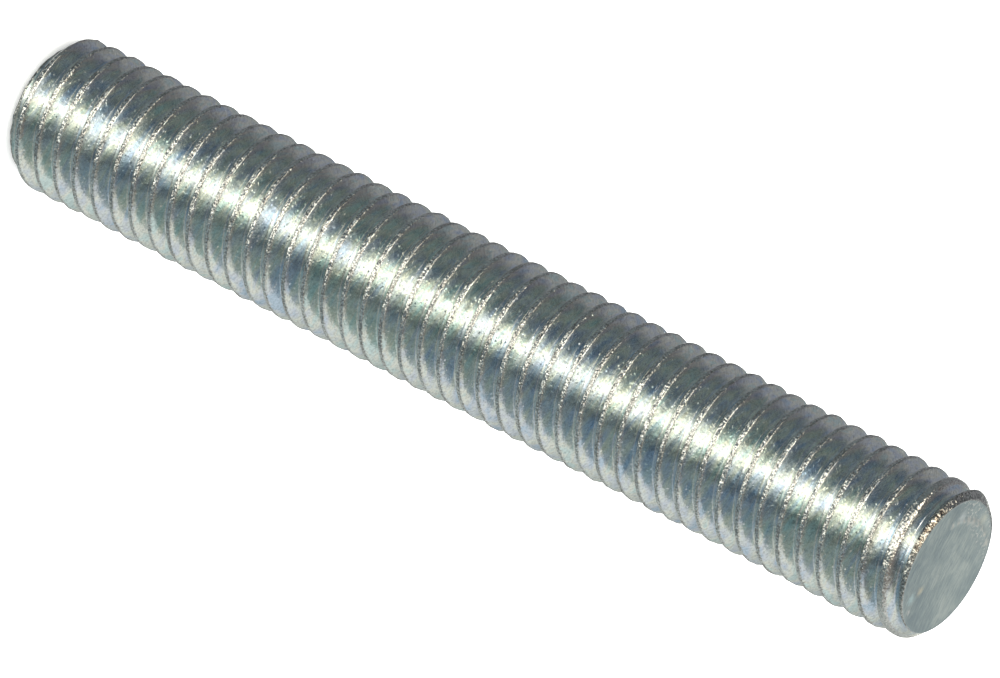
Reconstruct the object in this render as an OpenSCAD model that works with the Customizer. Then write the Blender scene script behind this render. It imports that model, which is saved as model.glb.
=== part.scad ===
// Fully threaded metric rod, standing on its lower end.
// The axis is +Z, and the origin is the centre of the lower face.

/* [Rod] */
// Length from end face to end face
rod_length = 80; // [20:1:100]
// Nominal diameter of the thread
thread_d = 12; // [9:0.1:16]

/* [Thread] */
// Rise of the thread in one turn
pitch = 1.75; // [1.5:0.05:2.5]
// How much smaller than the nominal diameter the crests are, across the rod
crest_allowance = 0.16; // [0:0.01:0.3]
// Width of the flat on top of a crest, as a share of the pitch
crest_share = 0.125; // [0.05:0.005:0.2]
// Angle of a flank from a plane square to the axis
flank_angle = 30; // [25:1:32]
// Where a turn of the thread begins at the lower face, in degrees from +X
start_angle = 213; // [0:1:359]
// Straight sides in one turn
turn_sides = 24; // [16:1:24]

/* [Ends] */
// How far the chamfer cuts in from the crests at the upper face
upper_chamfer = 0.88; // [0.2:0.01:1.5]
// How far the chamfer cuts in from the crests at the lower face
lower_chamfer = 1.17; // [0.2:0.01:1.5]
// Slope of both chamfers, in degrees from the end face
chamfer_angle = 45; // [30:1:60]

/* [Hidden] */
$fn = 96;

// Depth of the thread below its crests, as a share of the pitch
thread_depth_share = 0.6134;
crest_r = (thread_d - crest_allowance) / 2;
root_r = crest_r - thread_depth_share * pitch;

// Axial lengths of one turn's root, flank and crest; they add up to the pitch
flank_run = thread_depth_share * pitch * tan(flank_angle);
crest_run = crest_share * pitch;
root_run = pitch - crest_run - 2 * flank_run;

// The four corners of one turn's section, as [radius, height above the turn's start]
section = [
    [root_r, 0],
    [root_r, root_run],
    [crest_r, root_run + flank_run],
    [crest_r, root_run + flank_run + crest_run],
];
corners = len(section);

// The thread starts one turn and a half below the rod and ends as far above it,
// so that both of its ragged ends are cut away by the end faces.
overrun = 1.5 * pitch;
turns = ceil((rod_length + 2 * overrun) / pitch);
steps = turns * turn_sides;

// A corner of the section, carried up the helix by a number of steps
function thread_point(step, corner) =
    let (turn = step / turn_sides, angle = start_angle + 360 * (turn - 1.5))
    [
        section[corner][0] * cos(angle),
        section[corner][0] * sin(angle),
        section[corner][1] + pitch * turn - overrun
    ];

// Where that corner stands in the list of points
function index(step, corner) = step * corners + corner;

// The rod before its ends are cut: one section swept up the helix, with each turn
// joined to the next along its root, and closed by a fan at each end.
module thread_form() {
    lower_centre = (steps + 1) * corners;
    upper_centre = lower_centre + 1;
    last_lap = steps - turn_sides;
    points = [
        for (step = [0:steps]) for (corner = [0:corners - 1]) thread_point(step, corner),
        [0, 0, -overrun],
        [0, 0, pitch * (turns + 1) - overrun],
    ];
    along_section = [
        for (step = [0:steps - 1]) for (corner = [0:corners - 2]) [
            index(step, corner),
            index(step, corner + 1),
            index(step + 1, corner + 1),
            index(step + 1, corner),
        ],
    ];
    between_turns = [
        for (step = [0:last_lap - 1]) [
            index(step, corners - 1),
            index(step + turn_sides, 0),
            index(step + turn_sides + 1, 0),
            index(step + 1, corners - 1),
        ],
    ];
    lower_fan = [
        for (step = [0:turn_sides - 1])
            [lower_centre, index(step, 0), index(step + 1, 0)],
    ];
    upper_fan = [
        for (step = [last_lap:steps - 1])
            [upper_centre, index(step + 1, corners - 1), index(step, corners - 1)],
    ];
    lower_wall = [
        lower_centre,
        index(turn_sides, 0),
        for (corner = [corners - 1:-1:0]) index(0, corner),
    ];
    upper_wall = [
        upper_centre,
        index(last_lap, corners - 1),
        for (corner = [0:corners - 1]) index(steps, corner),
    ];
    polyhedron(
        points,
        concat(along_section, between_turns, lower_fan, upper_fan, [lower_wall, upper_wall])
    );
}

// The room that the two end faces and their chamfers leave for the rod
module end_form() {
    slope = tan(chamfer_angle);
    clear_r = crest_r + 1;
    rotate_extrude()
        polygon([
            [0, 0],
            [crest_r - lower_chamfer, 0],
            [clear_r, (clear_r - crest_r + lower_chamfer) * slope],
            [clear_r, rod_length - (clear_r - crest_r + upper_chamfer) * slope],
            [crest_r - upper_chamfer, rod_length],
            [0, rod_length],
        ]);
}

module threaded_rod() {
    color([0.62, 0.65, 0.66])
        intersection() {
            thread_form();
            end_form();
        }
}

threaded_rod();
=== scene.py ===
"""The looks of a threaded rod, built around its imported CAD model. Lengths are in metres."""
import math
from types import SimpleNamespace

import bmesh
import bpy
import numpy as np
from mathutils import Matrix, Vector


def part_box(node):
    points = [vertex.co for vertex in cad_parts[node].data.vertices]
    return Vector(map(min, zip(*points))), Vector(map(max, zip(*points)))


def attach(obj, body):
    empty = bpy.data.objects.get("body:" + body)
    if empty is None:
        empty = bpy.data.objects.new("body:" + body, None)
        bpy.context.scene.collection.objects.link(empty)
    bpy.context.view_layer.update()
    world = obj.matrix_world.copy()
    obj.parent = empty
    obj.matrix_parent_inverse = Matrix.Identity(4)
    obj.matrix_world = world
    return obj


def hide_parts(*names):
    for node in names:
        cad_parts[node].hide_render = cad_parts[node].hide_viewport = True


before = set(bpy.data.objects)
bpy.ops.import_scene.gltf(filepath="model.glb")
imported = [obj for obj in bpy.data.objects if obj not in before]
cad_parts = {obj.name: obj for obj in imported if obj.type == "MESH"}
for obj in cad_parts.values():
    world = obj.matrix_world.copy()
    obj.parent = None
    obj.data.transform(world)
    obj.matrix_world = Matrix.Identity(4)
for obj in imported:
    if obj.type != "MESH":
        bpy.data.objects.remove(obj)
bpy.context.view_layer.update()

MM = 0.001
NODE = "threaded_rod"
LOW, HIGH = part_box(NODE)
LENGTH = HIGH.z - LOW.z
CREST_R = max(HIGH.x - LOW.x, HIGH.y - LOW.y) / 2

# The thread: an ISO metric form, right-handed. Its depth and root radius are shares of the pitch
PITCH = 1.75 * MM
DEPTH_SHARE = 0.6134
ROOT_RADIUS_SHARE = 0.1443
FLANK_ANGLE = math.radians(30)
# The angle, from +X, at which the middle of the root crosses the lower face
ROOT_ANGLE = math.radians(183)

# Rolling leaves the crests slightly domed, out to this share of the pitch from their middle
CREST_DOME_R = 0.16 * MM
CREST_DOME_REACH = 0.15
# How far a crest falls short of the full thread, and how far each way that reaches, in pitches
CREST_LOSS = 0.045 * MM
CREST_REACH = 0.07
# How a crest sways, in pitches, and lifts: slowest and quickest waves per mm, and how strong
CREST_SWAY = [(0.05, 0.4, 0.014), (0.4, 1.2, 0.008)]
CREST_LIFT = [(0.01, 0.08, 0.022 * MM), (0.2, 0.9, 0.016 * MM)]
# The fold that rolling leaves along a crest: its place and reach, in pitches, and its depth
SEAM_PLACE = 0.545
SEAM_REACH = 0.02
SEAM_DEPTH = 0.015 * MM
# Here and there it opens into a crack: how deep, and its slowest and quickest waves per mm
CRACK_DEPTH = 0.05 * MM
CRACK_WAVES = (0.1, 0.7)

# Wear: how far the crests at the two ends are rubbed down, and over what height
UPPER_WEAR = (0.17 * MM, HIGH.z - 3.2 * MM, HIGH.z - 1.7 * MM)
LOWER_WEAR = (0.08 * MM, LOW.z + 3.5 * MM, LOW.z + 1.5 * MM)
# Torn places on the crests: height, angle from +X in degrees, and how far each tear reaches
TEARS = [
    (51.84 * MM, 220, 0.9 * MM),
    (13.34 * MM, 255, 0.6 * MM),
    (33.5 * MM, 30, 0.8 * MM),
    (64.0 * MM, 110, 0.7 * MM),
]
TEAR_DEPTH = 0.16 * MM
# How quickly a tear's depth and its lean change along the crest, in radians per mm
TEAR_DEPTH_WAVE = 5.0
TEAR_LEAN_WAVE = 3.1

# The ends: radius of each flat face, how soft their rims are, and how hollow the faces are
UPPER_FACE_R = 5.04 * MM
LOWER_FACE_R = 4.75 * MM
RIM = 0.10 * MM
UPPER_HOLLOW = 0.12 * MM
LOWER_HOLLOW = 0.02 * MM
# The upper rim bulges towards this angle from +X, over about this many radians each way
SWELL_ANGLE = math.radians(150)
SWELL_REACH = 0.7
SWELL = 0.12 * MM
# It is notched all round: slowest and quickest waves per mm, and how deep
NOTCH_WAVES = (0.6, 1.6)
NOTCH_DEPTH = 0.012 * MM
# The notches are golden, and this much deeper, towards this angle from +X
GOLDEN_ANGLE = math.radians(250)
GOLDEN_REACH = 0.35
GOLDEN_NOTCH_DEPTH = 0.04 * MM
# The lower rim is only uneven: its waves in the same way, and how strong
LOWER_RIM_WAVES = (0.2, 1.2)
LOWER_RIM_DEPTH = 0.03 * MM

# The burr on the upper face runs between these angles from +X, in degrees
BURR_START = 222
BURR_END = 122
# It starts this far from the axis, and ends this much further out
BURR_START_R = 3.35 * MM
BURR_DRIFT = 1.3 * MM
BURR_HEIGHT = 0.15 * MM
BURR_WIDTH = 0.22 * MM
# What share of its height comes and goes along it, and how quickly, in radians per degree
BURR_UNEVEN = 0.25
BURR_WAVE = 0.55
# The face lies lower beyond it
BURR_STEP = 0.45 * MM
BURR_STEP_WIDTH = 0.15 * MM

# How wide the rounded corners are where the dome, the wear and the chamfers meet the thread
DOME_CORNER = 0.02 * MM
WEAR_CORNER = 0.03 * MM
CHAMFER_CORNER = 0.05 * MM

# How finely the thread is swept, and how many turns it runs on past each end before it is cut
TURN_SIDES = 96
OVERRUN = 1.5
# Where the rows of vertices lie across one turn, from root to root, as shares of the pitch
ROWS = [
    0.0, 0.045, 0.09, 0.135, 0.25,
    0.385, 0.408, 0.43, 0.455, 0.485, 0.515, 0.545, 0.57, 0.592, 0.615,
    0.74, 0.865, 0.91, 0.955,
]
# Rings of vertices round each rim and over each face
RIM_STEPS = 4
FACE_STEPS = 22
# How far from a cut a vertex may lie and still count as on it
CUT_TOLERANCE = 1e-8
RING_TOLERANCE = 1e-7


# ---------------------------------------------------------------- shapes

def wobble(rng, x, slowest, quickest, terms=14):
    """A smooth random function of x with a spread of 1: slowest and quickest are waves per unit."""
    waves = rng.uniform(slowest, quickest, terms)
    phases = rng.uniform(0, 2 * math.pi, terms)
    angles = 2 * math.pi * waves * x[..., None] + phases
    return np.sin(angles).sum(-1) * math.sqrt(2 / terms)


def wobbles(rng, x, parts):
    """The sum of wobbles, each given as its slowest and quickest waves and how strong it is."""
    return sum(wobble(rng, x, slowest, quickest) * strength for slowest, quickest, strength in parts)


def bell(x, power=2):
    """1 at zero and 0.37 at 1 and -1, falling smoothly to nothing on both sides."""
    return np.exp(-(np.abs(x) ** power))


def soft_min(a, b, width):
    """The lower of two values, with the corner between them rounded over width."""
    h = np.clip(0.5 + (b - a) / (2 * width), 0, 1)
    return b * (1 - h) + a * h - width * h * (1 - h)


def turned_from(angle, middle):
    """How far an angle lies from another, the short way round."""
    return np.angle(np.exp(1j * (angle - middle)))


def thread_radius(share):
    """Radius of the plain thread at a share of the pitch from the middle of the root."""
    from_root = np.abs((share + 0.5) % 1 - 0.5) * PITCH
    bottom = CREST_R - DEPTH_SHARE * PITCH
    arc = ROOT_RADIUS_SHARE * PITCH
    arc_end = arc * math.cos(FLANK_ANGLE)
    in_arc = np.minimum(from_root, arc_end)
    fillet = bottom + arc - np.sqrt(arc**2 - in_arc**2)
    flank_start = bottom + arc * (1 - math.sin(FLANK_ANGLE))
    flank = flank_start + (from_root - arc_end) / math.tan(FLANK_ANGLE)
    form = np.where(from_root < arc_end, fillet, flank)
    from_crest = PITCH / 2 - from_root
    dome = CREST_R - from_crest**2 / (2 * CREST_DOME_R)
    domed = soft_min(form, dome, DOME_CORNER)
    return np.where(from_crest < CREST_DOME_REACH * PITCH, domed, form)


def tear_crests(radius, height, angle, along, crest):
    """Roughens the crests round each torn place."""
    depth = TEAR_DEPTH * crest * (0.6 + 0.4 * np.sin(TEAR_DEPTH_WAVE * along))
    aside = np.sin(TEAR_LEAN_WAVE * along)
    for tear_height, degrees, reach in TEARS:
        sideways = CREST_R * turned_from(angle, math.radians(degrees))
        # a tear is twice as long as it is high
        away = np.hypot(sideways, (height - tear_height) * 2)
        torn = depth * bell(away / reach)
        radius = radius - torn
        height = height + torn * aside
    return radius, height


def chamfer_radius(rng, height, angle, along):
    """How far out the chamfers let the rod reach, with the bulge and notches of their rims."""
    golden = bell(turned_from(angle, GOLDEN_ANGLE) / GOLDEN_REACH)
    notch_depth = NOTCH_DEPTH + GOLDEN_NOTCH_DEPTH * golden
    notches = notch_depth * np.clip(wobble(rng, along, *NOTCH_WAVES), -1, 1)
    swell = SWELL * bell(turned_from(angle, SWELL_ANGLE) / SWELL_REACH)
    upper = UPPER_FACE_R + (HIGH.z - height) + swell + notches
    uneven = LOWER_RIM_DEPTH * wobble(rng, along, *LOWER_RIM_WAVES)
    lower = LOWER_FACE_R + (height - LOW.z) + uneven
    return np.minimum(upper, lower)


def thread_points(rng):
    """The thread as a grid of points: steps up the helix by rows across the section."""
    turns = math.ceil(LENGTH / PITCH + 2 * OVERRUN)
    turn = (np.arange(turns * TURN_SIDES + 1) / TURN_SIDES - OVERRUN)[:, None]
    angle = ROOT_ANGLE + 2 * math.pi * turn
    rows = np.array(ROWS)[None, :]
    # the way along the crest, in mm, which the wobbles run on
    along = 2 * math.pi * CREST_R * turn / MM

    crest = bell((rows - 0.5) / CREST_REACH, power=4)
    seam = bell((rows - SEAM_PLACE) / SEAM_REACH)
    sway = wobbles(rng, along, CREST_SWAY)
    lift = wobbles(rng, along, CREST_LIFT)
    crack = np.clip(wobble(rng, along, *CRACK_WAVES), 0, 1.5)

    height = LOW.z + PITCH * (turn + rows + sway * crest)
    fold = seam * (SEAM_DEPTH + CRACK_DEPTH * crack)
    radius = thread_radius(rows) - crest * (CREST_LOSS - lift) - fold
    for depth, start, end in (UPPER_WEAR, LOWER_WEAR):
        worn = np.clip((height - start) / (end - start), 0, 1)
        radius = soft_min(radius, CREST_R - depth * worn, WEAR_CORNER)
    radius, height = tear_crests(radius, height, angle, along, crest)
    radius = soft_min(radius, chamfer_radius(rng, height, angle, along), CHAMFER_CORNER)
    radius = np.minimum(radius, CREST_R)
    return np.stack([radius * np.cos(angle), radius * np.sin(angle), height], -1)


def grid_faces(steps, rows):
    """Quads over the swept grid, each turn joined to the next along its root."""
    index = np.arange(steps * rows).reshape(steps, rows)
    across = [index[:-1, :-1], index[1:, :-1], index[1:, 1:], index[:-1, 1:]]
    lap = steps - TURN_SIDES
    joint = [
        index[:lap - 1, -1],
        index[1:lap, -1],
        index[TURN_SIDES + 1:, 0],
        index[TURN_SIDES:-1, 0],
    ]
    quads = [np.stack(corners, -1).reshape(-1, 4) for corners in (across, joint)]
    return np.concatenate(quads).tolist()


def burr_radius(share):
    """How far the crescent of burr lies from the axis, at a share of its length."""
    return BURR_START_R + BURR_DRIFT * share**2


def upper_relief(x, y):
    """The upper face: hollow, with a burr left in a crescent where the rod was cut off."""
    r = math.hypot(x, y)
    hollow = UPPER_HOLLOW * max(0.0, 1 - (r / UPPER_FACE_R) ** 2)
    turned = math.degrees(math.atan2(y, x)) % 360
    if r < MM or not BURR_END < turned < BURR_START:
        return hollow
    share = (BURR_START - turned) / (BURR_START - BURR_END)
    past = r - burr_radius(share)
    uneven = 1 - BURR_UNEVEN + BURR_UNEVEN * math.sin(BURR_WAVE * turned)
    ridge = BURR_HEIGHT * uneven * math.exp(-((past / BURR_WIDTH) ** 2))
    beyond = 0.5 + 0.5 * math.tanh(past / BURR_STEP_WIDTH)
    step = BURR_STEP * beyond * max(0.0, 1 - r / UPPER_FACE_R)
    taper = math.sin(math.pi * share) ** 0.5
    return max(0.0, hollow + taper * (step - ridge))


def lower_relief(x, y):
    """The lower face: flat but for a very shallow hollow."""
    r = math.hypot(x, y) / LOWER_FACE_R
    return LOWER_HOLLOW * max(0.0, 1 - r * r)


def end_ring(bm, height):
    """The open edge at one end of the thread, as vertices in order round the axis."""
    edge = {v for e in bm.edges if e.is_boundary for v in e.verts}
    ring = [v for v in edge if abs(v.co.z - height) < RING_TOLERANCE]
    return sorted(ring, key=lambda v: math.atan2(v.co.y, v.co.x))


def bridge(bm, outer, inner, outward):
    """Quads between two rings of as many vertices."""
    count = len(outer)
    for k in range(count):
        n = (k + 1) % count
        quad = (outer[k], outer[n], inner[n], inner[k])
        bm.faces.new(quad if outward > 0 else tuple(reversed(quad)))


def close_end(bm, ring, outward, relief):
    """Closes one end: a rounded rim, then rings of a nearly flat face up to its centre.
    outward is 1 at the upper end and -1 at the lower one, and relief(x, y) gives how far
    into the rod the face lies there."""
    plane = HIGH.z if outward > 0 else LOW.z

    def add_ring(outer, places, drop):
        """One more ring, joined to the one outside it. drop is how far down the rim it lies."""
        inner = [bm.verts.new((x, y, plane - outward * (drop + relief(x, y)))) for x, y in places]
        bridge(bm, outer, inner, outward)
        return inner

    edge = [(v.co.x, v.co.y) for v in ring]
    for k in range(1, RIM_STEPS + 1):
        turn = math.pi / 2 * k / RIM_STEPS
        inset = RIM * (1 - math.cos(turn))
        scales = [1 - inset / math.hypot(x, y) for x, y in edge]
        places = [(x * scale, y * scale) for (x, y), scale in zip(edge, scales)]
        ring = add_ring(ring, places, RIM * (1 - math.sin(turn)))
    edge = [(v.co.x, v.co.y) for v in ring]
    for k in range(1, FACE_STEPS):
        scale = 1 - k / FACE_STEPS
        ring = add_ring(ring, [(x * scale, y * scale) for x, y in edge], 0.0)
    centre = bm.verts.new((0, 0, plane - outward * relief(0, 0)))
    for k in range(len(ring)):
        pair = (ring[k], ring[(k + 1) % len(ring)])
        bm.faces.new((*pair, centre) if outward > 0 else (*reversed(pair), centre))


def make_rod():
    """The rod as one closed mesh: the thread is swept past both ends, cut off and closed."""
    points = thread_points(np.random.default_rng(12))
    steps, rows = points.shape[:2]
    mesh = bpy.data.meshes.new("rod")
    mesh.from_pydata(points.reshape(-1, 3).tolist(), [], grid_faces(steps, rows))
    bm = bmesh.new()
    bm.from_mesh(mesh)
    for height, outward, relief in (
        (HIGH.z - RIM, 1, upper_relief),
        (LOW.z + RIM, -1, lower_relief),
    ):
        bmesh.ops.bisect_plane(
            bm,
            geom=bm.verts[:] + bm.edges[:] + bm.faces[:],
            dist=CUT_TOLERANCE,
            plane_co=(0, 0, height),
            plane_no=(0, 0, outward),
            clear_outer=True,
        )
        close_end(bm, end_ring(bm, height), outward, relief)
    for face in bm.faces:
        face.smooth = True
    bm.to_mesh(mesh)
    bm.free()
    rod = bpy.data.objects.new("rod", mesh)
    bpy.context.scene.collection.objects.link(rod)
    return rod


# ---------------------------------------------------------------- shader nodes

class Graph:
    """A short way to write shader nodes. An input may be a value or another node's output."""

    def __init__(self, tree):
        self.tree = tree
        self.tree.nodes.clear()

    def node(self, kind, inputs=None, **settings):
        made = self.tree.nodes.new(kind)
        for name, value in settings.items():
            setattr(made, name, value)
        for name, value in (inputs or {}).items():
            self.feed(made.inputs[name], value)
        return made

    def feed(self, socket, value):
        if isinstance(value, bpy.types.NodeSocket):
            self.tree.links.new(value, socket)
        else:
            socket.default_value = value

    def math(self, operation, *values, clamp=False):
        made = self.node("ShaderNodeMath", operation=operation, use_clamp=clamp)
        for socket, value in zip(made.inputs, values):
            self.feed(socket, value)
        return made.outputs[0]

    def add(self, a, b):
        return self.math("ADD", a, b)

    def minus(self, a, b):
        return self.math("SUBTRACT", a, b)

    def times(self, a, b):
        return self.math("MULTIPLY", a, b)

    def weighted(self, *terms):
        """The sum of some values, each given with its weight."""
        total, *others = [self.times(value, weight) for value, weight in terms]
        for other in others:
            total = self.add(total, other)
        return total

    def step(self, value, start, end):
        """0 up to start and 1 past end, with a smooth change between. The end may be the lower."""
        inputs = {"Value": value, "From Min": start, "From Max": end}
        return self.node("ShaderNodeMapRange", inputs, interpolation_type="SMOOTHSTEP").outputs[0]

    def mix(self, share, a, b):
        """Between two colours."""
        return self.between("RGBA", share, a, b)

    def blend(self, share, a, b):
        """Between two numbers."""
        return self.between("FLOAT", share, a, b)

    def between(self, data_type, share, a, b):
        made = self.node("ShaderNodeMix", {"Factor": share}, data_type=data_type)
        self.feed(made.inputs["A"], a)
        self.feed(made.inputs["B"], b)
        return made.outputs["Result"]

    def ramp(self, value, stops):
        made = self.node("ShaderNodeValToRGB", {"Fac": value})
        ramp = made.color_ramp
        while len(ramp.elements) > 1:
            ramp.elements.remove(ramp.elements[-1])
        for k, (place, colour) in enumerate(stops):
            element = ramp.elements[0] if k == 0 else ramp.elements.new(place)
            element.position = place
            element.color = (*colour, 1)
        return made.outputs["Color"]

    def vector(self, operation, *values):
        made = self.node("ShaderNodeVectorMath", operation=operation)
        for socket, value in zip(made.inputs, values):
            self.feed(socket, value)
        gives_number = operation in ("DISTANCE", "DOT_PRODUCT")
        return made.outputs["Value" if gives_number else "Vector"]

    def scaled(self, way, amount):
        inputs = {0: way, "Scale": amount}
        return self.node("ShaderNodeVectorMath", inputs, operation="SCALE").outputs["Vector"]

    def level(self, x, y):
        """The vector (x, y, 0)."""
        return self.node("ShaderNodeCombineXYZ", {"X": x, "Y": y}).outputs[0]

    def split(self, way):
        """The three parts of a vector."""
        return self.node("ShaderNodeSeparateXYZ", {0: way}).outputs

    def noise(self, place, scale, detail, roughness, distortion=0.0):
        inputs = {
            "Vector": place,
            "Scale": scale,
            "Detail": detail,
            "Roughness": roughness,
            "Distortion": distortion,
        }
        return self.node("ShaderNodeTexNoise", inputs).outputs["Fac"]

    def long_noise(self, place, scales, detail, roughness):
        """Noise with its own scale along each axis."""
        return self.noise(self.vector("MULTIPLY", place, scales), 1.0, detail, roughness)


# ---------------------------------------------------------------- the zinc

# Noises on the rod: scale per metre, detail and roughness, and for one of them its distortion
CLOUD = (600, 3, 0.55, 0.4)
PATCH = (170, 2, 0.5)
GRAIN = (7500, 2, 0.6)
PITS = (3600, 2, 0.5)
MOTTLE = (5200, 3, 0.65)
SPECKS = (4000, 0, 0.5)
FLECKS = (4200, 2, 0.6)
MARK_EDGE = (3200, 3, 0.7)
# Noises with a scale of their own along each axis
NOTCH = ((3900, 3900, 300), 1, 0.5)
SCRATCH = ((900, 4200, 900), 3, 0.65)
# Noises along the streaks that rolling leaves: scale per mm, detail and roughness
STREAK = (1.0, 3, 0.6)
DRIFT = (0.7, 2, 0.5)
# In those two, one pitch goes once round a circle of this radius
LANE_R = 1.3
CRYSTALS_PER_METRE = 8500.0

# The rough band along a crest, in pitches: its middle, its half-width, what wear adds to that,
# and how ragged and how soft its edges are
BAND_PLACE = 0.494
BAND_HALF = 0.100
WORN_BAND_MORE = 0.12
BAND_RAGGED = 0.12
BAND_EDGE = 0.02
# Where the look of a chamfer starts and is full: height over its cone, and distance from its end
CONE_EDGE = (-0.16 * MM, -0.06 * MM)
UPPER_CONE_REACH = (1.0 * MM, 0.7 * MM)
LOWER_CONE_REACH = (1.3 * MM, 1.0 * MM)
# How far from the golden side, in degrees, the gold starts and is full
GOLDEN_EDGE = (28, 12)
# How level a surface is, from 0 to 1, where the look of an end face starts and is full
FACE_EDGE = (0.85, 0.95)
FACE_SOFTNESS = 0.1 * MM

# Colours, each at a level of the noise that picks them
FLANK_TINTS = [
    (0.37, (0.66, 0.78, 0.91)),
    (0.43, (0.83, 0.86, 0.92)),
    (0.48, (0.88, 0.92, 0.91)),
    (0.53, (0.98, 0.97, 0.88)),
    (0.61, (0.79, 0.92, 0.90)),
]
CREST_TINTS = [(0.40, (0.46, 0.43, 0.40)), (0.49, (0.74, 0.71, 0.68)), (0.58, (1.0, 0.99, 0.96))]
CONE_TINTS = [(0.38, (0.34, 0.33, 0.31)), (0.50, (0.60, 0.58, 0.55)), (0.62, (0.90, 0.88, 0.84))]
GOLDEN_TINTS = [(0.42, (0.20, 0.16, 0.13)), (0.49, (0.58, 0.50, 0.42)), (0.56, (1.0, 0.95, 0.84))]
FACE_TINTS = [(0.40, (0.48, 0.56, 0.58)), (0.50, (0.61, 0.69, 0.68)), (0.60, (0.78, 0.84, 0.80))]
WORN_TINT = (0.80, 0.77, 0.73, 1)
WORN_TINT_SHARE = 0.5
# How bright the flanks are where the mottle is least, and how much it adds
MOTTLE_BASE = 0.44
MOTTLE_GAIN = 1.02
# Tints on the upper face: place in mm, size in mm, colour
FACE_MARKS = [
    (-3.6, -1.2, 0.75, (0.92, 0.97, 0.96)),
    (-4.1, 1.7, 0.70, (0.90, 0.92, 0.82)),
    (2.3, -1.9, 0.55, (0.95, 0.90, 0.74)),
    (3.1, -2.6, 0.65, (0.80, 0.96, 0.96)),
    (3.9, -2.1, 0.30, (0.99, 0.99, 0.95)),
]
# How ragged a mark is, and where its colour starts and is full, in its own sizes
MARK_RAGGED = 1.6
MARK_REACH = (1.8, 0.8)
# Pale marks along the burr, its paler metal with a painted highlight on its ridge: how many, their
# size in mm and how much that varies, and their colour
BURR_MARKS = 9
BURR_MARK_SIZE = 0.36
BURR_MARK_SPREAD = 0.14
BURR_TINT_AND_HIGHLIGHT = (0.99, 0.97, 0.90)
# Pale flecks lie on the upper face towards this angle from +X, past this far from the axis
FLECK_ANGLE = math.radians(158)
FLECK_REACH = (2.6 * MM, 3.6 * MM)
FLECK_EDGE = (0.56, 0.64)
FLECK_TINT = (0.98, 0.98, 0.93, 1)

# Heights of the relief that is too fine for the mesh
STREAK_HEIGHT = 0.006 * MM
PIT_HEIGHT = 0.012 * MM
SPECK_HEIGHT = 0.007 * MM
SPECK_EDGE = (0.70, 0.80)
GRAIN_HEIGHT = 0.030 * MM
CREST_PIT_HEIGHT = 0.015 * MM
# The share of the crests' relief that wear takes away
WORN_RELIEF_LOSS = 0.25
NOTCH_HEIGHT = 0.012 * MM
GOLDEN_NOTCH_HEIGHT = 0.08 * MM
SCRATCH_HEIGHT = 0.030 * MM
CLOUD_HEIGHT = 0.05 * MM

# How far the rolled surface sways to the side, in streaks and in patches
STREAK_SWAY = 0.20
CLOUD_SWAY = 0.10
# How far the plating's crystals are tilted on the rough parts, and how far the few on the flanks
# are. Each crystal has a number from 0 to 1, and those few are the ones past the edge
ROUGH_TILT = 0.46
FLANK_TILT = 0.38
FEW_EDGE = (0.972, 0.985)

# Roughness of the polished flanks, at the least and how much the clouds add, and of the rest
FLANK_ROUGHNESS = 0.12
CLOUD_ROUGHNESS = 0.16
ROUGH_ROUGHNESS = 0.21
FACE_ROUGHNESS = 0.36


def find_patterns(g):
    """Where a point lies on the rod, and the noises there."""
    place = g.node("ShaderNodeTexCoord").outputs["Object"]
    x, y, z = g.split(place)
    turn = g.math("DIVIDE", g.math("ARCTAN2", y, x), 2 * math.pi)
    climb = g.minus(g.math("DIVIDE", z, PITCH), turn)
    share = g.math("FRACT", g.add(climb, ROOT_ANGLE / (2 * math.pi)))
    crystal_inputs = {"Vector": place, "Scale": CRYSTALS_PER_METRE}

    # Rolling leaves streaks that run round the rod: fine across the thread, long round it
    lane_angle = g.times(share, 2 * math.pi)
    lane = g.level(g.math("COSINE", lane_angle), g.math("SINE", lane_angle))
    streak_place = g.vector("ADD", g.scaled(lane, LANE_R), g.scaled(place, 1 / MM))
    return SimpleNamespace(
        place=place,
        z=z,
        share=share,
        radius=g.math("SQRT", g.add(g.times(x, x), g.times(y, y))),
        outward=g.vector("NORMALIZE", g.level(x, y)),
        streak=g.noise(streak_place, *STREAK),
        drift=g.noise(streak_place, *DRIFT),
        cloud=g.noise(place, *CLOUD),
        patch=g.noise(place, *PATCH),
        grain=g.noise(place, *GRAIN),
        pits=g.noise(place, *PITS),
        notch=g.long_noise(place, *NOTCH),
        scratch=g.long_noise(place, *SCRATCH),
        crystals=g.node("ShaderNodeTexVoronoi", crystal_inputs).outputs["Color"],
    )


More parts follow.
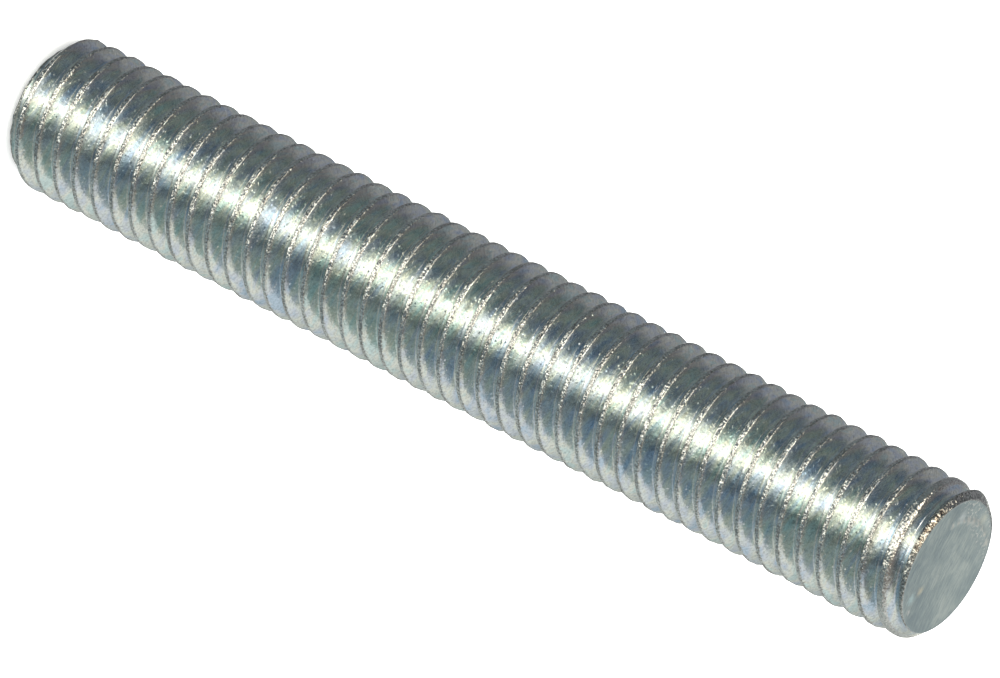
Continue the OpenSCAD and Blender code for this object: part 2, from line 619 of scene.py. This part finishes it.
def find_regions(g, p):
    """Where each kind of surface lies, from 0 to 1."""
    wear = g.step(p.z, UPPER_WEAR[1], UPPER_WEAR[2])
    from_band = g.math("ABSOLUTE", g.minus(p.share, BAND_PLACE))
    ragged = g.add(from_band, g.times(g.minus(p.grain, 0.5), BAND_RAGGED))
    past_band = g.minus(ragged, g.add(BAND_HALF, g.times(wear, WORN_BAND_MORE)))
    crest = g.minus(1, g.step(past_band, -BAND_EDGE, BAND_EDGE))

    past_upper = g.minus(g.add(p.radius, p.z), UPPER_FACE_R + HIGH.z)
    near_upper = g.step(g.minus(HIGH.z, p.z), *UPPER_CONE_REACH)
    upper_cone = g.times(g.step(past_upper, *CONE_EDGE), near_upper)
    past_lower = g.minus(g.minus(p.radius, p.z), LOWER_FACE_R - LOW.z)
    near_lower = g.step(g.minus(p.z, LOW.z), *LOWER_CONE_REACH)
    lower_cone = g.times(g.step(past_lower, *CONE_EDGE), near_lower)
    cones = g.math("MAXIMUM", upper_cone, lower_cone)

    golden_way = (math.cos(GOLDEN_ANGLE), math.sin(GOLDEN_ANGLE), 0)
    lined_up = g.vector("DOT_PRODUCT", p.outward, golden_way)
    golden_edge = [math.cos(math.radians(degrees)) for degrees in GOLDEN_EDGE]

    facing = g.split(g.node("ShaderNodeNewGeometry").outputs["Normal"])[2]
    inner = g.step(p.radius, UPPER_FACE_R + FACE_SOFTNESS, UPPER_FACE_R - FACE_SOFTNESS)
    return SimpleNamespace(
        wear=wear,
        crest=crest,
        cones=cones,
        golden=g.times(g.step(lined_up, *golden_edge), upper_cone),
        rough=g.math("MAXIMUM", crest, cones),
        face=g.times(g.step(g.math("ABSOLUTE", facing), *FACE_EDGE), inner),
    )


def flank_tint(g, p):
    """Faint blue, green and yellow in streaks and patches, finely mottled."""
    tint = g.ramp(g.weighted((p.drift, 0.6), (p.patch, 0.4)), FLANK_TINTS)
    mottle = g.times(g.noise(p.place, *MOTTLE), MOTTLE_GAIN)
    return g.scaled(tint, g.math("ADD", MOTTLE_BASE, mottle, clamp=True))


def crest_tint(g, p, at):
    """Browner and grainy, and more even where the crests are worn."""
    tint = g.ramp(g.weighted((p.cloud, 0.3), (p.grain, 0.7)), CREST_TINTS)
    return g.mix(g.times(at.wear, WORN_TINT_SHARE), tint, WORN_TINT)


def cone_tint(g, p, at):
    """Grey and grainy, with golden notches on one side of the upper end."""
    notched = g.weighted((p.notch, 0.6), (p.grain, 0.4))
    return g.mix(at.golden, g.ramp(p.grain, CONE_TINTS), g.ramp(notched, GOLDEN_TINTS))


def burr_marks_and_highlight():
    """Pale marks all along the crescent of burr, in the form of FACE_MARKS: paler metal, with a
    painted highlight where its ridge would catch the light.
    """
    marks = []
    for k in range(BURR_MARKS):
        share = (k + 0.5) / BURR_MARKS
        turned = math.radians(BURR_START + (BURR_END - BURR_START) * share)
        r = burr_radius(share) / MM
        size = BURR_MARK_SIZE + BURR_MARK_SPREAD * math.sin(5.0 * k)
        marks.append((r * math.cos(turned), r * math.sin(turned), size, BURR_TINT_AND_HIGHLIGHT))
    return marks


def face_tint(g, p):
    """Grey-green with faint scratches, pale flecks on one side, the marks of its plating, and pale
    marks along the burr that are partly a painted highlight.
    """
    tint = g.ramp(g.weighted((p.cloud, 0.35), (p.patch, 0.3), (p.scratch, 0.35)), FACE_TINTS)
    fleck_way = (math.cos(FLECK_ANGLE), math.sin(FLECK_ANGLE), 0)
    flecked = g.step(g.vector("DOT_PRODUCT", p.place, fleck_way), *FLECK_REACH)
    flecks = g.step(g.noise(p.place, *FLECKS), *FLECK_EDGE)
    tint = g.mix(g.times(flecks, flecked), tint, FLECK_TINT)
    edge_noise = g.noise(p.place, *MARK_EDGE)
    # The burr's marks paint in part of the highlight that its ridge would catch
    for x, y, size, mark_tint in FACE_MARKS + burr_marks_and_highlight():
        away = g.vector("DISTANCE", p.place, (x * MM, y * MM, HIGH.z))
        ragged = g.add(away, g.times(edge_noise, MARK_RAGGED * size * MM))
        near = g.step(ragged, *(reach * size * MM for reach in MARK_REACH))
        tint = g.mix(near, tint, (*mark_tint, 1))
    return tint


def fine_relief(g, p, at):
    """Height of the relief that is too fine for the mesh."""
    specks = g.step(g.noise(p.place, *SPECKS), *SPECK_EDGE)
    flank = g.weighted((p.streak, STREAK_HEIGHT), (p.pits, PIT_HEIGHT), (specks, SPECK_HEIGHT))
    crest = g.weighted((p.grain, GRAIN_HEIGHT), (p.pits, CREST_PIT_HEIGHT))
    crest = g.times(crest, g.minus(1, g.times(at.wear, WORN_RELIEF_LOSS)))
    notch_height = g.add(NOTCH_HEIGHT, g.times(at.golden, GOLDEN_NOTCH_HEIGHT))
    cone = g.add(g.times(p.notch, notch_height), g.times(p.grain, GRAIN_HEIGHT))
    face = g.weighted((p.scratch, SCRATCH_HEIGHT), (p.cloud, CLOUD_HEIGHT))
    thread = g.blend(at.rough, flank, g.blend(at.cones, crest, cone))
    return g.blend(at.face, thread, face)


def surface_normal(g, p, at):
    """The way the surface faces, with its fine relief, its sway and its tilted crystals."""
    bump = {"Height": fine_relief(g, p, at), "Strength": 1.0, "Distance": 1.0}
    normal = g.node("ShaderNodeBump", bump).outputs[0]
    off_face = g.minus(1, at.face)

    # The rolled surface is never quite round: it sways from side to side
    sideways = g.vector("CROSS_PRODUCT", (0, 0, 1), p.outward)
    sway = g.weighted((g.minus(p.streak, 0.5), STREAK_SWAY), (g.minus(p.cloud, 0.5), CLOUD_SWAY))
    normal = g.vector("ADD", normal, g.scaled(sideways, g.times(sway, off_face)))

    # The plating's crystals lie at all angles on the rough parts, and here and there on the flanks
    few = g.step(g.split(p.crystals)[0], *FEW_EDGE)
    tilt = g.blend(at.rough, g.times(few, FLANK_TILT), ROUGH_TILT)
    way = g.vector("SUBTRACT", p.crystals, (0.5, 0.5, 0.5))
    normal = g.vector("ADD", normal, g.scaled(way, g.times(tilt, off_face)))
    return g.vector("NORMALIZE", normal)


def zinc_material():
    """Bright zinc on a rolled thread: polished flanks, rough crests and chamfers, satin ends."""
    material = bpy.data.materials.new("bright_zinc")
    material.use_nodes = True
    g = Graph(material.node_tree)
    p = find_patterns(g)
    at = find_regions(g, p)
    colour = g.mix(at.crest, flank_tint(g, p), crest_tint(g, p, at))
    colour = g.mix(at.cones, colour, cone_tint(g, p, at))
    colour = g.mix(at.face, colour, face_tint(g, p))
    roughness = g.add(FLANK_ROUGHNESS, g.times(p.cloud, CLOUD_ROUGHNESS))
    roughness = g.blend(at.rough, roughness, ROUGH_ROUGHNESS)
    roughness = g.blend(at.face, roughness, FACE_ROUGHNESS)
    shader = g.node(
        "ShaderNodeBsdfPrincipled",
        {
            "Base Color": colour,
            "Metallic": 1.0,
            "Roughness": roughness,
            "Normal": surface_normal(g, p, at),
        },
    )
    g.node("ShaderNodeOutputMaterial", {"Surface": shader.outputs[0]})
    return material


# ---------------------------------------------------------------- studio

# How far the studio leans, in turns, and how far below level it lies just as RING and SKY have it
LEAN = 0.02
SEEN_LEVEL = 0.477
# Colours round the rod: 0.5 is straight in front, 0 behind round the -X side, 1 round the +X side
RING = [
    (0.00, (0.28, 0.30, 0.31)),
    (0.11, (0.24, 0.25, 0.27)),
    (0.21, (0.105, 0.13, 0.14)),
    (0.28, (0.16, 0.195, 0.20)),
    (0.35, (0.085, 0.108, 0.125)),
    (0.395, (0.13, 0.18, 0.215)),
    (0.43, (0.42, 0.47, 0.44)),
    (0.458, (1.25, 1.3, 1.15)),
    (0.48, (2.15, 2.15, 1.95)),
    (0.505, (2.15, 2.15, 1.95)),
    (0.535, (0.82, 0.88, 0.80)),
    (0.567, (0.33, 0.39, 0.37)),
    (0.597, (0.088, 0.112, 0.122)),
    (0.625, (0.095, 0.125, 0.14)),
    (0.655, (0.21, 0.27, 0.30)),
    (0.72, (0.20, 0.26, 0.27)),
    (0.78, (0.31, 0.37, 0.37)),
    (0.84, (0.42, 0.47, 0.46)),
    (0.92, (0.50, 0.54, 0.53)),
    (1.00, (0.28, 0.30, 0.31)),
]
# Colours higher up, in the same directions
SKY = [
    (0.00, (0.62, 0.65, 0.64)),
    (0.05, (0.62, 0.65, 0.64)),
    (0.14, (0.14, 0.14, 0.155)),
    (0.25, (0.09, 0.09, 0.095)),
    (0.44, (0.20, 0.19, 0.17)),
    (0.475, (1.1, 1.05, 0.92)),
    (0.505, (1.1, 1.05, 0.92)),
    (0.54, (0.22, 0.21, 0.19)),
    (0.62, (0.22, 0.22, 0.20)),
    (0.74, (0.40, 0.42, 0.41)),
    (0.82, (0.72, 0.75, 0.73)),
    (1.00, (0.62, 0.65, 0.64)),
]
TOP_COLOUR = (0.16, 0.14, 0.13, 1)
# The levels between which the ring gives way to the sky, and the sky to the top
SKY_EDGE = (0.30, 0.60)
TOP_EDGE = (0.80, 0.97)
# A strip of light behind the rod, for the views from behind. It starts and is full at these
# shares of a turn from the front, and at these levels
STRIP_COLOUR = (1.35, 1.40, 1.30, 1)
STRIP_SIDE = (0.45, 0.485)
STRIP_TOP = (0.05, -0.10)
# A round lamp high in front, for the rough crests and rims. Its azimuth is from straight in
# front, and its edge fades over this share of its half-width each way
LAMP_AZIMUTH = math.radians(-46)
LAMP_HEIGHT = math.radians(55)
LAMP_HALF_WIDTH = math.radians(18)
LAMP_SOFTNESS = 0.25
LAMP_COLOUR = (3.2, 3.05, 2.6, 1)

# The floor: half its side, its finish, and how much it glows by itself
FLOOR_HALF = 3.0
FLOOR_COLOUR = (0.86, 0.86, 0.86, 1)
FLOOR_ROUGHNESS = 0.9
FLOOR_GLOW = 0.4

# The soft box over the floor
SOFT_BOX_HEIGHT = 1.2
SOFT_BOX_SIZE = 2.4
SOFT_BOX_WATTS = 60.0


def make_floor():
    """A pale floor under the rod, which the metal doesn't mirror."""
    h = FLOOR_HALF
    mesh = bpy.data.meshes.new("floor")
    corners = [(x, y, LOW.z) for x, y in ((-h, -h), (h, -h), (h, h), (-h, h))]
    mesh.from_pydata(corners, [], [(0, 1, 2, 3)])
    floor = bpy.data.objects.new("floor", mesh)
    bpy.context.scene.collection.objects.link(floor)
    material = bpy.data.materials.new("pale_floor")
    material.use_nodes = True
    g = Graph(material.node_tree)
    shader = g.node(
        "ShaderNodeBsdfPrincipled",
        {
            "Base Color": FLOOR_COLOUR,
            "Roughness": FLOOR_ROUGHNESS,
            "Emission Color": (1, 1, 1, 1),
            "Emission Strength": FLOOR_GLOW,
        },
    )
    g.node("ShaderNodeOutputMaterial", {"Surface": shader.outputs[0]})
    mesh.materials.append(material)
    floor.visible_glossy = False


def lamp_share(g, way):
    """1 inside the round lamp and 0 outside it, with a soft edge."""
    level = math.cos(LAMP_HEIGHT)
    lamp_way = (
        math.sin(LAMP_AZIMUTH) * level,
        -math.cos(LAMP_AZIMUTH) * level,
        math.sin(LAMP_HEIGHT),
    )
    outer = LAMP_HALF_WIDTH * (1 + LAMP_SOFTNESS)
    inner = LAMP_HALF_WIDTH * (1 - LAMP_SOFTNESS)
    return g.step(g.vector("DOT_PRODUCT", way, lamp_way), math.cos(outer), math.cos(inner))


def make_world():
    """A soft studio all round the rod: bright in front, dark beside it, paler to the sides."""
    world = bpy.data.worlds.new("studio")
    bpy.context.scene.world = world
    world.use_nodes = True
    g = Graph(world.node_tree)
    way = g.node("ShaderNodeTexCoord").outputs["Generated"]
    x, y, z = g.split(way)
    azimuth = g.math("ARCTAN2", x, g.times(y, -1))
    # the studio leans: what is higher up lies further to the left
    lean = g.add(0.5 + LEAN * SEEN_LEVEL, g.times(z, LEAN))
    across = g.math("FRACT", g.add(g.math("DIVIDE", azimuth, 2 * math.pi), lean))
    behind = g.step(g.math("ABSOLUTE", g.minus(across, 0.5)), *STRIP_SIDE)
    strip = g.times(behind, g.step(z, *STRIP_TOP))
    ring = g.mix(strip, g.ramp(across, RING), STRIP_COLOUR)
    sky = g.mix(g.step(z, *TOP_EDGE), g.ramp(across, SKY), TOP_COLOUR)
    colour = g.mix(g.step(z, *SKY_EDGE), ring, sky)
    colour = g.mix(lamp_share(g, way), colour, LAMP_COLOUR)
    shade = g.node("ShaderNodeBackground", {"Color": colour, "Strength": 1.0})
    g.node("ShaderNodeOutputWorld", {"Surface": shade.outputs[0]})


def make_light():
    """A large soft box overhead, for the floor alone: the studio round the rod lights the rod."""
    data = bpy.data.lights.new("overhead", "AREA")
    data.shape = "DISK"
    data.size = SOFT_BOX_SIZE
    data.energy = SOFT_BOX_WATTS
    light = bpy.data.objects.new("overhead", data)
    light.location = (0.0, 0.0, SOFT_BOX_HEIGHT)
    light.visible_glossy = False
    bpy.context.scene.collection.objects.link(light)


# The camera: far off and long, looking down at the rod and rolled so that the rod lies across the
# frame. The lens is given in mm, as the sensor is
ELEVATION = math.radians(28.5)
ROLL = math.radians(117.224)
DISTANCE = 0.8351
SENSOR = 36.0
LENS = 11.94 * SENSOR
# The camera aims this far to the right of the rod's centre, and this far below it, in the frame
AIM_RIGHT = 0.6958 * MM
AIM_DOWN = 0.4510 * MM


def make_camera():
    """The camera that sees the rod as the photo does."""
    data = bpy.data.cameras.new("camera")
    data.sensor_width = SENSOR
    data.lens = LENS
    data.clip_start = 0.01
    data.clip_end = 20
    camera = bpy.data.objects.new("camera", data)
    bpy.context.scene.collection.objects.link(camera)
    back = Vector((0, -math.cos(ELEVATION), math.sin(ELEVATION)))
    right = Vector((1, 0, 0))
    up = back.cross(right)
    turned_right = right * math.cos(ROLL) + up * math.sin(ROLL)
    turned_up = up * math.cos(ROLL) - right * math.sin(ROLL)
    centre = Vector((0, 0, (LOW.z + HIGH.z) / 2))
    aim = centre + turned_right * AIM_RIGHT - turned_up * AIM_DOWN
    place = aim + back * DISTANCE
    rotation = Matrix((turned_right, turned_up, back)).transposed().to_4x4()
    camera.matrix_world = Matrix.Translation(place) @ rotation
    bpy.context.scene.camera = camera


make_camera()
rod = make_rod()
rod.data.materials.append(zinc_material())
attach(rod, "root")
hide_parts(NODE)
make_floor()
make_world()
make_light()
bpy.context.scene.view_settings.view_transform = "Standard"
